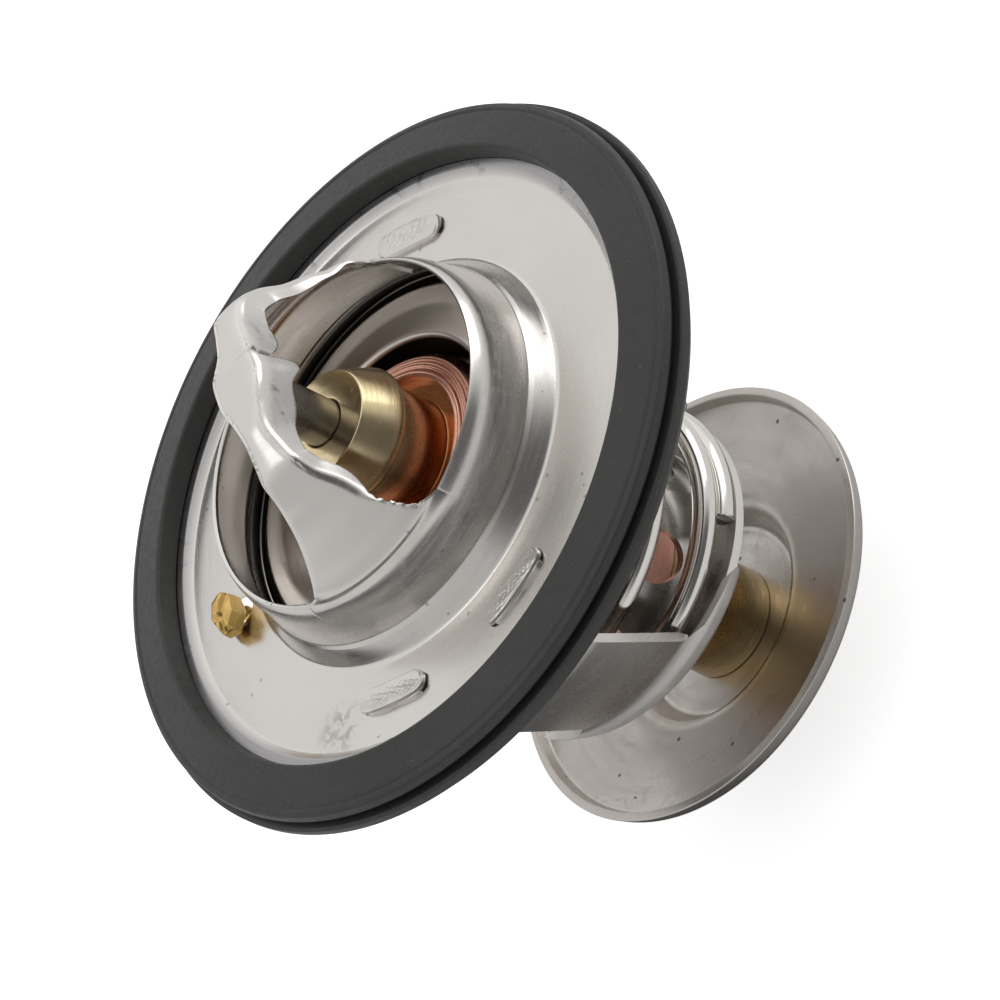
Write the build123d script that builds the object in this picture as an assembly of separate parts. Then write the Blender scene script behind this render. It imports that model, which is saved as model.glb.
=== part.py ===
from build123d import *
import math
import os

# Engine thermostat with a bypass disc. Millimetres, +Z along the opening axis, towards the bridge.
# The origin is on the axis, in the plane of the gasket's rear face, which seats in the housing.

# sheet and running fits
sheet = 1.0
valve_sheet = 0.8
disc_sheet = 0.9
cup_wall = 0.8
running = 0.05
seat_gap = 0.06
soft_gap = 0.05
round_edge = 0.3
largest_cut = 0.49
smallest_cut = 0.001

# motion
vent_travel = 1.2

# flange
flange_r = 33.5
flange_top = 3.2
joggle_inset = 4.0
joggle_drop = 0.6
joggle_run = 0.8

# gasket, a ring with a slot for the flange's edge
gasket_grip = 2.5
gasket_lip_grip = 2.3
gasket_front_height = 2.2
gasket_face_wall = 2.5
gasket_face_height = 1.0
gasket_groove_wall = 1.7
gasket_groove_z = 2.3
gasket_bead_wall = 3.0
gasket_bead_z = 0.6

# collar, valve seat and dome
collar_r = 20.7
seat_rise = 1.9
seat_inset = 1.2
step_inset = 1.55
step_rise = 0.4
skirt_inset = 2.2
skirt_rise = 5.6
rim_inset = 3.0
rim_rise = 8.3
rim_shoulder = 1.0
dome_rise = 22.2
dome_flat_inset = 16.2
dome_knee_inset = 10.7
dome_knee_drop = 2.1
dome_waist_inset = 7.3
dome_waist_drop = 7.4
dome_bend_r = 2.0
flange_bend_r = 0.4
seat_bend_r = 0.6
skirt_bend_r = 3.0

# bridge strap left standing from the dome
strap_apex_half = 2.9
strap_waist_half = 1.7
strap_waist_y = 7.2
strap_knee_half = 2.5
strap_foot_half = 8.2
strap_wall = 0.9
strap_depth = 4.2
socket_wall = 1.26
socket_depth = 4.9

# piston and wax element
piston_r = 2.34
piston_tip_cover = 1.2
guide_nose_z = 13.2
guide_nose_r = 5.4
guide_cone_r = 7.0
guide_cone_drop = 3.6
guide_neck_r = 6.3
crimp_top_z = 4.0
crimp_inner_r = 8.2
crimp_outer_r = 11.2
crimp_bulge = 1.3
guide_flange_thick = 2.2
diaphragm_thick = 1.2
diaphragm_web = 0.8
washer_thick = 0.5
plug_length = 2.2
chamber_r = 5.2
chamber_height = 1.6
cup_r = 6.5
cup_length = 25.0
cup_floor = 1.2
cup_root = 0.5

# valve plate
valve_rim_rise = 1.2
valve_ring_width = 2.2
valve_ring_drop = 0.65
valve_crest_rise = 0.3
hub_clearance = 1.2

# cage
leg_inset = 8.5
leg_half = 12.0
leg_bend_z = -8.5
leg_waist_half = 7.15
leg_foot_half = 7.05
leg_waist_z = -4.5
cage_clearance = 1.0
cage_shoulder_z = -22.8
cage_floor_z = -27.2
cage_corner_r = 2.2
band_step = 1.5
band_step_run = 1.3
band_drop = 2.3
band_end_drop = 3.0
band_end_run = 0.8
band_angle = 53.0
floor_overlap = 0.6
wall_lean = 0.5
floor_corner_run = 1.5
bell_foot_clearance = 1.8
bell_clearance = 0.1
bell_height = 11.0
bell_holes = 6
bell_hole_r = 2.65
bell_hole_lip = 0.5
bell_hole_z = -22.3
bell_hole_angle = -41.0
tab_angle = 19.8
tab_length = 7.4
tab_head_length = 8.2
tab_head_width = 2.8
tab_head_height = 0.55

# return spring
spring_wire = 2.4
spring_hub_clearance = 0.8
spring_seat_gap = 0.15
spring_end_angle = -15.0
spring_turns = 5.0
spring_closed_turns = 1.0

# bypass stem and disc
stem_r = 5.66
stem_length = 14.95
rivet_r = 3.2
rivet_head_r = 4.6
rivet_head_height = 1.2
disc_r = 22.45
disc_depth = 5.85
disc_rim_height = 1.4
disc_floor_r = 21.2
recess_r = 11.3
recess_floor_r = 9.7
disc_cone_drop = 1.2
disc_bend_r = 1.2

# vent pin
vent_inset = 10.2
vent_hole_r = 1.55
vent_pin_r = 0.8
vent_head_r = 1.75
vent_head_height = 1.5
vent_weight_r = 2.1
vent_weight_height = 3.0
vent_pin_drop = 5.0

plate_top = flange_top - joggle_drop
joggle_r = flange_r - joggle_inset
gasket_bore_r = flange_r - gasket_grip
gasket_lip_r = flange_r - gasket_lip_grip
gasket_face_r = flange_r + gasket_face_wall
gasket_groove_r = flange_r + gasket_groove_wall
gasket_bead_r = flange_r + gasket_bead_wall
gasket_front_z = flange_top + gasket_front_height
gasket_face_z = flange_top + gasket_face_height
vent_r = flange_r - vent_inset
leg_r = flange_r - leg_inset
seat_top_z = plate_top + seat_rise
skirt_z = plate_top + skirt_rise
rim_z = plate_top + rim_rise
dome_top = plate_top + dome_rise
seat_r = collar_r - seat_inset
skirt_r = collar_r - skirt_inset
rim_r = collar_r - rim_inset
dome_flat_r = collar_r - dome_flat_inset
dome_knee_r = collar_r - dome_knee_inset
dome_waist_r = collar_r - dome_waist_inset
guide_flange_r = crimp_outer_r - cup_wall - running
guide_flange_top = crimp_top_z - cup_wall - 0.3
guide_flange_bottom = guide_flange_top - guide_flange_thick
diaphragm_bottom = guide_flange_bottom - diaphragm_thick
ledge_bottom = diaphragm_bottom - cup_wall
cup_bottom = ledge_bottom - cup_length
hub_floor_top = ledge_bottom
diaphragm_top = diaphragm_bottom + diaphragm_web
piston_end_z = diaphragm_top + soft_gap + plug_length + washer_thick
bell_top_r = cup_r + bell_clearance
stem_end_z = cup_bottom - stem_length
disc_rim_z = stem_end_z + disc_depth
socket_r = piston_r + socket_wall
valve_rim_z = plate_top + valve_rim_rise
valve_ring_z = valve_rim_z - valve_ring_drop
valve_crest_z = valve_rim_z + valve_crest_rise
hub_r = crimp_outer_r + hub_clearance
spring_r = hub_r + valve_sheet + spring_hub_clearance + spring_wire / 2
cage_r = spring_r + spring_wire / 2 + cage_clearance + sheet
bell_foot_r = spring_r - spring_wire / 2 - bell_foot_clearance - sheet


def rounded_edges(points, bends, closed=True):
    """Edges of a path whose corners are tangent arcs, each no larger than its two sides allow."""
    corners = [Vector(*point) for point in points]
    arrivals = []
    departures = []
    arcs = []
    for index, corner in enumerate(corners):
        if not closed and index in (0, len(corners) - 1):
            arrivals.append(corner)
            departures.append(corner)
            continue
        behind = corner - corners[index - 1]
        ahead = corners[(index + 1) % len(corners)] - corner
        half_turn = math.radians(behind.get_angle(ahead)) / 2
        cut = min(bends[index] * math.tan(half_turn), largest_cut * min(behind.length, ahead.length))
        arrivals.append(corner - behind.normalized() * cut)
        departures.append(corner + ahead.normalized() * cut)
        if cut > smallest_cut:
            radius = cut / math.tan(half_turn)
            inwards = (ahead.normalized() - behind.normalized()).normalized()
            middle = corner + inwards * (radius / math.cos(half_turn) - radius)
            arcs.append(ThreePointArc(arrivals[-1], middle, departures[-1]))
    sides = zip(departures, arrivals[1:] + (arrivals[:1] if closed else []))
    lines = [Line(start, end) for start, end in sides if (end - start).length > smallest_cut]
    return [edge for curve in arcs + lines for edge in curve.edges()]


def section(points, bends=0.0):
    """Closed section drawn as (radius, height), with one bend radius or one for each corner."""
    corners = bends if isinstance(bends, list) else [bends] * len(points)
    return make_face(rounded_edges(points, corners))


def turned(points, bends=0.0):
    """Solid of revolution about the axis."""
    return revolve(Plane.XZ * section(points, bends), Axis.Z)


def offset_points(path, distance):
    """Corners of the path moved sideways by the distance, mitred at each corner."""
    headings = []
    for start, end in zip(path, path[1:]):
        length = math.dist(start, end)
        headings.append(((end[0] - start[0]) / length, (end[1] - start[1]) / length))
    moved = []
    for index, point in enumerate(path):
        before = headings[max(index - 1, 0)]
        after = headings[min(index, len(headings) - 1)]
        normal = (-(before[1] + after[1]), before[0] + after[0])
        scale = distance * 2 / (normal[0] ** 2 + normal[1] ** 2)
        moved.append((point[0] + normal[0] * scale, point[1] + normal[1] * scale))
    return moved


def turn_left(path, index):
    """True where the path turns left at this corner."""
    back = (path[index][0] - path[index - 1][0], path[index][1] - path[index - 1][1])
    ahead = (path[index + 1][0] - path[index][0], path[index + 1][1] - path[index][1])
    return back[0] * ahead[1] - back[1] * ahead[0] > 0


def formed(path, gauge, bends):
    """Section of formed sheet: the path is one face, and the sheet lies to its right."""
    corners = range(1, len(path) - 1)
    inner = offset_points(path, -gauge)
    near_radii = []
    far_radii = []
    for index in corners:
        bend = bends[index - 1]
        near_radii.append(bend if turn_left(path, index) else bend + gauge)
        far_radii.append(bend + gauge if turn_left(path, index) else bend)
    near = rounded_edges(path, [0] + near_radii + [0], closed=False)
    far = rounded_edges(inner, [0] + far_radii + [0], closed=False)
    ends = [Line(path[0], inner[0]), Line(path[-1], inner[-1])]
    return make_face(near + far + [edge for end in ends for edge in end.edges()])


def spun(path, gauge, bends):
    """Formed sheet spun about the axis."""
    return revolve(Plane.XZ * formed(path, gauge, bends), Axis.Z)


def post(points, low, high):
    """Plan outline raised from one height to another."""
    return Pos(0, 0, low) * extrude(make_face(Polyline(*points, close=True).edges()), high - low)


def around(shape, angles):
    """Copies of a shape turned about the axis."""
    return [Rot(0, 0, angle) * shape for angle in angles]


def seat_inner_r(height):
    """Radius of the seat's inner cone at a height."""
    foot, head = dome_path()[:2]
    length = math.dist(foot, head)
    lean = (foot[0] - head[0]) / (head[1] - foot[1])
    inset = sheet * length / (head[1] - foot[1])
    return foot[0] - inset - (height - plate_top) * lean


def tab_angles():
    """Where the cage's four tabs come up through the flange."""
    return [side + lean for side in (-90, 90) for lean in (-tab_angle, tab_angle)]


def dome_path():
    """Outside of the dome, from the collar's foot up to the axis."""
    return [
        (collar_r, plate_top),
        (seat_r, seat_top_z),
        (collar_r - step_inset, seat_top_z + step_rise),
        (skirt_r, skirt_z),
        (rim_r, rim_z + rim_shoulder),
        (dome_waist_r, dome_top - dome_waist_drop),
        (dome_knee_r, dome_top - dome_knee_drop),
        (dome_flat_r, dome_top),
        (0, dome_top),
    ]


def bridge_flange():
    """Flange, valve seat, collar and bridge, drawn and pierced from one sheet."""
    path = [
        (flange_r, flange_top),
        (joggle_r + joggle_run / 2, flange_top),
        (joggle_r - joggle_run / 2, plate_top),
    ] + dome_path()
    collar_bends = [seat_bend_r, seat_bend_r, seat_bend_r, skirt_bend_r, skirt_bend_r]
    bends = [flange_bend_r, flange_bend_r] + collar_bends + [dome_bend_r, dome_bend_r, dome_bend_r * 2]
    shell = revolve(Plane.XZ * formed(list(reversed(path)), sheet, list(reversed(bends))), Axis.Z)

    # the strap's outline in plan: wide at the feet, waisted, and wider again over the piston
    side = [
        (strap_apex_half, 0),
        (strap_apex_half, 2.0),
        (strap_waist_half, strap_waist_y),
        (strap_knee_half, dome_knee_r + 2.2),
        (strap_knee_half + 1.4, dome_waist_r + 0.8),
        (strap_foot_half, rim_r - 1.2),
        (strap_foot_half + 1.0, rim_r + 3.0),
    ]
    outline = side + [(-x, y) for x, y in reversed(side)]
    outline = outline + [(x, -y) for x, y in reversed(outline[1:-1])]
    outer_post = post(outline, rim_z, dome_top + 1)
    opened = shell - (Pos(0, 0, rim_z) * extrude(Circle(rim_r + 4), dome_top) - outer_post)

    # the strap's edges turned down into a channel
    waist_walls = 2 * strap_wall + 0.5
    depth_path = [
        (rim_r - 0.9, rim_z + 3.6),
        (dome_waist_r + 0.4, dome_top - dome_waist_drop),
        (dome_knee_r, dome_top - dome_knee_drop),
        (dome_flat_r, dome_top - round_edge),
        (0, dome_top - round_edge),
    ]
    lower_path = [
        (0, dome_top - strap_depth * 1.3),
        (dome_flat_r, dome_top - strap_depth * 1.3),
        (dome_knee_r - 2.6, dome_top - dome_knee_drop - strap_depth),
        (dome_waist_r - 3.2, dome_top - dome_waist_drop - strap_depth / 2),
        (rim_r - 2.6, rim_z + 2.6),
    ]
    web = turned(depth_path + lower_path)
    inner_post = post([(x - math.copysign(strap_wall, x), y) for x, y in outline], rim_z, dome_top + 1)
    channel = (web & outer_post) - inner_post
    waist = Pos(0, 0, dome_top) * Box(waist_walls, 2 * dome_waist_r, 4 * strap_depth)
    channel = channel + (web & outer_post & waist & turned([
        (strap_waist_y - 2.6, rim_z),
        (strap_waist_y + 2.4, rim_z),
        (strap_waist_y + 2.4, dome_top),
        (strap_waist_y - 2.6, dome_top),
    ]))
    socket = Pos(0, 0, dome_top - sheet / 2 - socket_depth) * extrude(Circle(socket_r), socket_depth)
    body = opened + channel + socket

    # seat for the piston, vent hole and slots for the cage's tabs
    bore_top = dome_top - piston_tip_cover
    body -= Pos(0, 0, 0) * extrude(Circle(piston_r), bore_top)
    body -= Pos(-vent_r, 0, 0) * extrude(Circle(vent_hole_r), flange_top + 1)
    slot = Pos(leg_r - sheet / 2, 0, 0) * extrude(
        Rectangle(sheet + 2 * soft_gap, tab_length + 2 * soft_gap), flange_top + 1
    )
    for one in around(slot, tab_angles()):
        body -= one
    return body


def rubber_gasket():
    """Moulded ring whose slot grips the flange's edge."""
    slot_top = flange_top + soft_gap
    slot_bottom = flange_top - sheet - soft_gap
    slot_r = flange_r + soft_gap
    points = [
        (gasket_lip_r, gasket_front_z),
        (gasket_lip_r - 0.4, slot_top),
        (slot_r, slot_top),
        (slot_r, slot_bottom),
        (gasket_bore_r, slot_bottom),
        (gasket_bore_r, 0),
        (gasket_bead_r - 0.4, 0),
        (gasket_bead_r, gasket_bead_z),
        (gasket_bead_r - 0.4, gasket_bead_z + 0.55),
        (gasket_groove_r, gasket_groove_z - 0.5),
        (gasket_groove_r, gasket_groove_z + 0.1),
        (gasket_face_r - 0.1, gasket_groove_z + 0.7),
        (gasket_face_r, gasket_face_z),
    ]
    bends = [0.35, 0.0, 0.0, 0.0, 0.0, 0.25, 0.25, 0.2, 0.15, 0.2, 0.2, 0.3, 0.6]
    return turned(points, bends)


def piston():
    """Ground pin held in the bridge, on which the wax element pushes itself down."""
    top = dome_top - piston_tip_cover
    return turned([
        (0, piston_end_z),
        (piston_r - round_edge, piston_end_z),
        (piston_r, piston_end_z + round_edge),
        (piston_r, top - round_edge),
        (piston_r - round_edge, top),
        (0, top),
    ])


def piston_washer():
    """Stops the plug from creeping up past the piston."""
    top = piston_end_z
    return Pos(0, 0, top - washer_thick) * extrude(Circle(piston_r), washer_thick)


def transfer_plug():
    """Rubber plug that passes the diaphragm's push on to the piston."""
    top = piston_end_z - washer_thick
    return Pos(0, 0, top - plug_length) * extrude(Circle(piston_r), plug_length)


def piston_guide():
    """Turned guide, held by its flange under the cup's rolled rim."""
    bore = piston_r + running
    points = [
        (bore, guide_nose_z),
        (guide_nose_r, guide_nose_z),
        (guide_cone_r, guide_nose_z - guide_cone_drop),
        (guide_cone_r, guide_nose_z - guide_cone_drop - 0.5),
        (guide_neck_r, guide_nose_z - guide_cone_drop - 1.0),
        (guide_neck_r, guide_flange_top),
        (guide_flange_r, guide_flange_top),
        (guide_flange_r, guide_flange_bottom),
        (chamber_r, guide_flange_bottom),
        (bore, guide_flange_bottom + chamber_height),
    ]
    bends = [0.25, 0.2, 0.2, 0.0, 0.4, 0.0, 0.0, 0.0, 0.0, 0.0]
    return turned(points, bends)


def diaphragm():
    """Rubber disc clamped between the guide and the cup, with its middle domed into the chamber."""
    top = guide_flange_bottom
    return turned([
        (0, diaphragm_bottom),
        (guide_flange_r, diaphragm_bottom),
        (guide_flange_r, top),
        (chamber_r - soft_gap * 2, top),
        (chamber_r - diaphragm_web, diaphragm_top),
        (0, diaphragm_top),
    ])


def wax_capsule():
    """Drawn cup whose top edge is rolled over the guide's flange."""
    rim = [
        (crimp_inner_r, crimp_top_z),
        (crimp_inner_r + crimp_bulge, crimp_top_z),
        (crimp_outer_r, crimp_top_z - crimp_bulge),
        (crimp_outer_r, ledge_bottom),
        (cup_r, ledge_bottom),
        (cup_r, cup_bottom),
        (0, cup_bottom),
        (0, cup_bottom + cup_floor),
        (cup_r - cup_wall, cup_bottom + cup_floor),
        (cup_r - cup_wall, diaphragm_bottom),
        (guide_flange_r + running, diaphragm_bottom),
        (guide_flange_r + running, guide_flange_top),
        (crimp_inner_r, guide_flange_top),
    ]
    bends = [0.4, 1.2, 0.8, 0.7, cup_root, 1.2, 0.0, 0.0, 0.5, 0.3, 0.0, 0.0, 0.0]
    return turned(rim, bends)


def wax_charge():
    """Wax that swells as it melts and lifts the diaphragm."""
    radius = cup_r - cup_wall - 0.02
    low = cup_bottom + cup_floor + 0.02
    return turned(
        [(0, low), (radius, low), (radius, diaphragm_bottom - 0.35), (0, diaphragm_bottom - 0.35)],
        [0.0, 0.55, 0.0, 0.0],
    )


def valve_plate():
    """Pressed valve: its rim closes the seat, and its hub carries the cup."""
    valve_r = seat_inner_r(valve_rim_z) - seat_gap
    path = [
        (cup_r + cup_root + running, hub_floor_top),
        (hub_r, hub_floor_top),
        (hub_r, valve_crest_z),
        (valve_r - valve_ring_width, valve_ring_z),
        (valve_r, valve_rim_z),
    ]
    bends = [0.4, 0.25, 1.2]
    return spun(path, valve_sheet, bends)


def bypass_stem():
    """Turned stem joining the cup to the bypass disc, with its spigot peened over under the disc."""
    below = stem_end_z - disc_sheet
    points = [
        (0, cup_bottom),
        (stem_r, cup_bottom),
        (stem_r, stem_end_z),
        (rivet_r, stem_end_z),
        (rivet_r, below),
        (rivet_head_r, below),
        (rivet_head_r, below - rivet_head_height),
        (0, below - rivet_head_height),
    ]
    return turned(points, [0.0, 0.3, 0.1, 0.0, 0.0, 0.2, 0.9, 0.0])


def bypass_disc():
    """Pressed disc that closes the bypass port when the valve is open."""
    cone_top = disc_rim_z - disc_rim_height
    path = [
        (disc_r - disc_sheet, disc_rim_z),
        (disc_floor_r, cone_top),
        (recess_r, cone_top - disc_cone_drop),
        (recess_floor_r, stem_end_z),
        (rivet_r, stem_end_z),
    ]
    bends = [0.5, disc_bend_r, disc_bend_r]
    return spun(list(reversed(path)), disc_sheet, bends)


def cage():
    """Spring cage pressed from one sheet: two legs, a band round the foot and a pierced bell."""
    leg_top = plate_top - sheet - soft_gap
    path = [
        (leg_r, leg_top),
        (leg_r, leg_bend_z),
        (cage_r, cage_shoulder_z),
        (cage_r - wall_lean, cage_floor_z + cage_corner_r),
        (cage_r - floor_corner_run, cage_floor_z),
        (bell_foot_r, cage_floor_z),
        (bell_top_r + sheet, cage_floor_z + bell_height - 1.6),
        (bell_top_r, cage_floor_z + bell_height),
    ]
    bends = [4.0, 2.0, 1.5, 1.0, 0.8, 0.8]
    shell = spun(path, sheet, bends)

    # legs seen from the side of the strap, and the band round the foot
    leg_top_up = leg_top + 1
    legs = Plane.XZ * make_face(Polyline(
        (leg_half, leg_top_up),
        (leg_half, leg_top - 3),
        (leg_waist_half, leg_waist_z - 4),
        (leg_foot_half, cage_shoulder_z - sheet),
        (-leg_foot_half, cage_shoulder_z - sheet),
        (-leg_waist_half, leg_waist_z - 4),
        (-leg_half, leg_top - 3),
        (-leg_half, leg_top_up),
        close=True,
    ).edges())
    legs = extrude(legs, 2 * leg_r, both=True)
    shoulder_y = math.sqrt(cage_r ** 2 - leg_foot_half ** 2)
    band_y = cage_r * math.cos(math.radians(band_angle))
    outside = cage_r + leg_r
    near_band = Plane.YZ * make_face(Polyline(
        (outside, cage_shoulder_z),
        (shoulder_y, cage_shoulder_z),
        (shoulder_y - band_step_run, cage_shoulder_z - band_step),
        (band_y + band_end_run, cage_shoulder_z - band_drop),
        (band_y, cage_shoulder_z - band_end_drop),
        (band_y, cage_floor_z - sheet),
        (outside, cage_floor_z - sheet),
        close=True,
    ).edges())
    near_band = extrude(near_band, 2 * leg_r, both=True)
    far_band = mirror(near_band, Plane.XZ)
    floor_zone = Pos(0, 0, cage_floor_z) * extrude(Circle(spring_r + floor_overlap), sheet)
    bell_zone = Pos(0, 0, cage_floor_z) * extrude(Circle(bell_foot_r + 1.5), bell_height + 1)
    body = (shell & legs) + (shell & near_band) + (shell & far_band) + (shell & floor_zone)
    body += shell & bell_zone

    # holes pierced outwards through the bell, each with a raised lip
    slope = math.degrees(math.atan2(bell_foot_r - bell_top_r - sheet, bell_height - 1.6))
    at_height = (bell_hole_z - cage_floor_z) / (bell_height - 1.6)
    hole_r = bell_foot_r + (bell_top_r + sheet - bell_foot_r) * at_height
    spot = Pos(hole_r, 0, bell_hole_z) * Rot(0, 90 - slope, 0)
    lip = spot * Pos(0, 0, -sheet / 2) * extrude(Circle(bell_hole_r + 0.4), sheet / 2 + bell_hole_lip)
    drill = spot * Pos(0, 0, -3) * extrude(Circle(bell_hole_r), 5)
    turns = [bell_hole_angle + 360 / bell_holes * step for step in range(bell_holes)]
    for one in around(lip, turns):
        body += one
    for one in around(drill, turns):
        body -= one

    # tabs up through the flange, upset on top of it
    neck = Pos(leg_r - sheet / 2, 0, leg_top - 0.5) * extrude(
        Rectangle(sheet, tab_length), plate_top - leg_top + 0.5 + tab_head_height / 2
    )
    head = Pos(leg_r - sheet / 2, 0, plate_top) * extrude(
        SlotOverall(tab_head_length, tab_head_width, rotation=90), tab_head_height
    )
    head = chamfer(head.faces().sort_by(Axis.Z)[-1].edges(), 0.25)
    for one in around(neck + head, tab_angles()):
        body += one
    return body


def spring_height(turn, low, high):
    """Height of the wire's centre: closed turns at both ends, an even pitch between."""
    closed = spring_closed_turns
    rise = closed * spring_wire
    pitch = (high - low - 2 * rise) / (spring_turns - 2 * closed)
    if turn < closed:
        return low + turn * spring_wire
    if turn > spring_turns - closed:
        return high - (spring_turns - turn) * spring_wire
    return low + rise + (turn - closed) * pitch


def return_spring():
    """Round wire coil between the cage's floor and the valve plate."""
    low = cage_floor_z + sheet + spring_wire / 2 + 0.02
    under_plate = valve_ring_z - valve_sheet
    high = under_plate - spring_wire / 2 - spring_seat_gap
    steps_per_turn = 16
    count = int(spring_turns * steps_per_turn)
    points = []
    for step in range(count + 1):
        turn = spring_turns * step / count
        angle = math.radians(spring_end_angle + 360 * turn)
        height = spring_height(turn, low, high)
        points.append((spring_r * math.cos(angle), spring_r * math.sin(angle), height))
    path = Spline(*points)
    start = Plane(origin=path @ 0, z_dir=path % 0)
    return sweep(start * Circle(spring_wire / 2), path, is_frenet=False, binormal=None)


def vent_pin():
    """Loose pin in the flange's vent hole, headed above."""
    top = plate_top + 0.02
    low = plate_top - vent_pin_drop
    body = turned([
        (0, low),
        (vent_pin_r, low),
        (vent_pin_r, top),
        (vent_head_r, top),
        (vent_head_r * 0.8, top + vent_head_height),
        (0, top + vent_head_height),
    ], [0.0, 0.2, 0.0, 0.35, 0.5, 0.0])
    return Pos(-vent_r, 0, 0) * body


def vent_weight():
    """Weight pressed on the pin under the flange; it lifts to shut the vent."""
    top = plate_top - sheet - vent_travel - 0.1
    body = turned([
        (vent_pin_r, top),
        (vent_pin_r + 0.4, top),
        (vent_weight_r, top - vent_weight_height / 2),
        (vent_weight_r, top - vent_weight_height / 2 - 0.4),
        (vent_pin_r, top - vent_weight_height),
    ], [0.0, 0.1, 0.5, 0.5, 0.2])
    return Pos(-vent_r, 0, 0) * body


pieces = {
    "rubber_gasket": rubber_gasket,
    "bridge_flange": bridge_flange,
    "piston": piston,
    "piston_washer": piston_washer,
    "transfer_plug": transfer_plug,
    "piston_guide": piston_guide,
    "diaphragm": diaphragm,
    "wax_capsule": wax_capsule,
    "wax_charge": wax_charge,
    "valve_plate": valve_plate,
    "cage": cage,
    "return_spring": return_spring,
    "bypass_stem": bypass_stem,
    "bypass_disc": bypass_disc,
    "vent_pin": vent_pin,
    "vent_weight": vent_weight,
}

os.makedirs("parts", exist_ok=True)
for name, make in pieces.items():
    shape = make()
    print(name, len(shape.solids()), round(shape.volume, 2), shape.bounding_box())
    export_step(shape, f"parts/{name}.step")
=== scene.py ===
import math

import bmesh
import bpy
import numpy as np
from mathutils import Matrix, Vector


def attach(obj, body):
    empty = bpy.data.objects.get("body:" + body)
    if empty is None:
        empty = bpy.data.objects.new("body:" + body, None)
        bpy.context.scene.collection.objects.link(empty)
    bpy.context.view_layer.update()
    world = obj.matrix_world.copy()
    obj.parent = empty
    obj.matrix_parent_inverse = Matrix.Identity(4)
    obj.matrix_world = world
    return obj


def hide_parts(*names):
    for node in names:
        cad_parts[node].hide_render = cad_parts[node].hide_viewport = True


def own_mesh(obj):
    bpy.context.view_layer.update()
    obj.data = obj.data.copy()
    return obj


# An engine thermostat. Sizes are in mm in the object's own axes, +Z towards the bridge, and become
# metres where a mesh or a material is made.
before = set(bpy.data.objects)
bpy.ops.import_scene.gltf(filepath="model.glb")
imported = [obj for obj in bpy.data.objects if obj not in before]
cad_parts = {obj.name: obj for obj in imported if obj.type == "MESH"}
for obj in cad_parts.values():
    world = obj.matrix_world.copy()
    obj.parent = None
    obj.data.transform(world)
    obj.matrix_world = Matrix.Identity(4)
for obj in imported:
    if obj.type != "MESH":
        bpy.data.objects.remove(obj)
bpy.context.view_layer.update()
print("frame loaded")

mm = 0.001
fullTurn = 2 * math.pi


# Each row of numbers made one long: the row over the root of its squares' sum.
def unit(rows):
    return rows / np.linalg.norm(rows, axis=1)[:, None]


# Each setting takes its value.
def give(thing, **settings):
    for name, value in settings.items():
        setattr(thing, name, value)
    return thing


# A new object that carries the data, in the scene.
def addObject(name, data):
    obj = bpy.data.objects.new(name, data)
    bpy.context.scene.collection.objects.link(obj)
    return obj


# A grid of points, numbered row by row, gives a quad for each cell: a point, the one below it,
# the one below to the right and the one to the right. wrapRows and wrapColumns close the grid on
# itself, and first is the number of its first point.
def gridFaces(rows, columns, wrapRows, wrapColumns, first=0):
    i = np.arange(rows if wrapRows else rows - 1)[:, None]
    j = np.arange(columns if wrapColumns else columns - 1)[None, :]
    iNext = (i + 1) % rows
    jNext = (j + 1) % columns
    quads = np.stack(
        [i * columns + j, iNext * columns + j, iNext * columns + jNext, i * columns + jNext], axis=-1
    )
    return quads.reshape(-1, 4) + first


# Several grids become one list of points and one of quads, numbered on from grid to grid. wrap
# closes a grid's columns round the axis.
def joinGrids(patches):
    points, faces, count = [], [], 0
    for grid, wrap in patches:
        rows, columns = grid.shape[:2]
        faces.append(gridFaces(rows, columns, False, wrap, count))
        points.append(grid.reshape(-1, 3))
        count += rows * columns
    return np.concatenate(points), np.concatenate(faces)


# Points in mm and quads become an object. Points closer than the weld merge, which closes seams,
# fill closes the holes that are left, and the faces turn outwards.
def meshObject(name, points, faces, sharpAngle=34, weld=1e-4, fill=False):
    mesh = bpy.data.meshes.new(name)
    mesh.vertices.add(len(points))
    mesh.vertices.foreach_set("co", (points * mm).astype(np.float32).ravel())
    mesh.loops.add(faces.size)
    mesh.loops.foreach_set("vertex_index", faces.astype(np.int32).ravel())
    mesh.polygons.add(len(faces))
    mesh.polygons.foreach_set("loop_start", np.arange(0, faces.size, 4, dtype=np.int32))
    mesh.update(calc_edges=True)
    work = bmesh.new()
    work.from_mesh(mesh)
    bmesh.ops.remove_doubles(work, verts=work.verts, dist=weld * mm)
    bmesh.ops.dissolve_degenerate(work, edges=work.edges, dist=weld * mm * 0.5)
    if fill:
        bmesh.ops.holes_fill(work, edges=[e for e in work.edges if e.is_boundary])
    bmesh.ops.recalc_face_normals(work, faces=work.faces)
    work.to_mesh(mesh)
    work.free()
    obj = addObject(name, mesh)
    smooth(obj, sharpAngle)
    return obj


# Faces shade smooth, except over an edge that bends by more than the sharp angle in degrees.
def smooth(obj, sharpAngle=34):
    obj.data.polygons.foreach_set("use_smooth", np.ones(len(obj.data.polygons), dtype=bool))
    obj.data.set_sharp_from_angle(angle=math.radians(sharpAngle))
    obj.data.update()


# What the modifiers make becomes the object's own mesh.
def applyModifiers(obj):
    bpy.context.view_layer.update()
    graph = bpy.context.evaluated_depsgraph_get()
    finished = bpy.data.meshes.new_from_object(obj.evaluated_get(graph))
    obj.modifiers.clear()
    obj.data = finished
    smooth(obj)


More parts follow.
